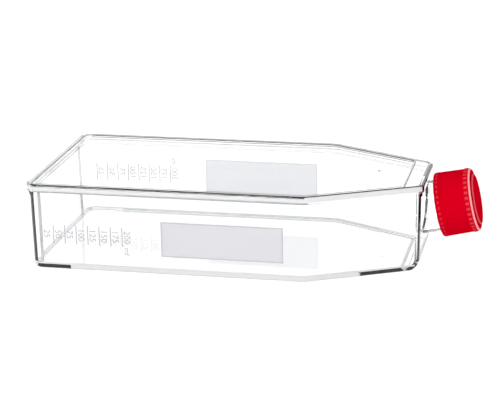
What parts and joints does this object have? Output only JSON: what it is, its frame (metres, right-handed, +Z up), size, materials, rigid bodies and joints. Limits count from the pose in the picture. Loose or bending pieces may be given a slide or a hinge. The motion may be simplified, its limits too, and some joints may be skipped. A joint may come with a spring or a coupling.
{
  "type": "cell culture flask",
  "caption": "Clear cell culture flask with a flat growth floor, welded top plate, tapered shoulder, canted neck and vented screw cap.",
  "frame": {"origin": "under the middle of the closed flask's overall box, at the level of the rim round the growth floor's underside, on which the flask stands", "axes": "+X along the flask from its base end towards the neck and cap, +Y across it, +Z up from the growth floor to the top plate"},
  "size_m": [0.2332, 0.1028, 0.0496],
  "materials": {
    "clear_polystyrene": "clear, glossy moulded polystyrene",
    "cap_plastic": "red moulded polyethylene, satin gloss",
    "membrane": "white porous filter membrane",
    "print": "pale grey printing ink"
  },
  "bodies": {
    "flask": {"tray": "clear_polystyrene", "top_plate": "clear_polystyrene"},
    "lifting_disc": {"vent_membrane": "membrane"},
    "cap": {"cap": "cap_plastic"}
  },
  "joints": [
    {"name": "cap_lift", "type": "slide", "parent": "flask", "child": "lifting_disc", "axis": [0.9781, 0, 0.2079], "range_m": [0, 0.0201]},
    {"name": "cap_turn", "type": "hinge", "parent": "lifting_disc", "child": "cap", "pos_m": [0.08673, 0, 0.02775], "axis": [0.9781, 0, 0.2079], "range_deg": [0, 1440]}
  ],
  "couplings": [
    {"joint": "cap_lift", "follows": "cap_turn", "m_per_rad": 0.00079577}
  ]
}
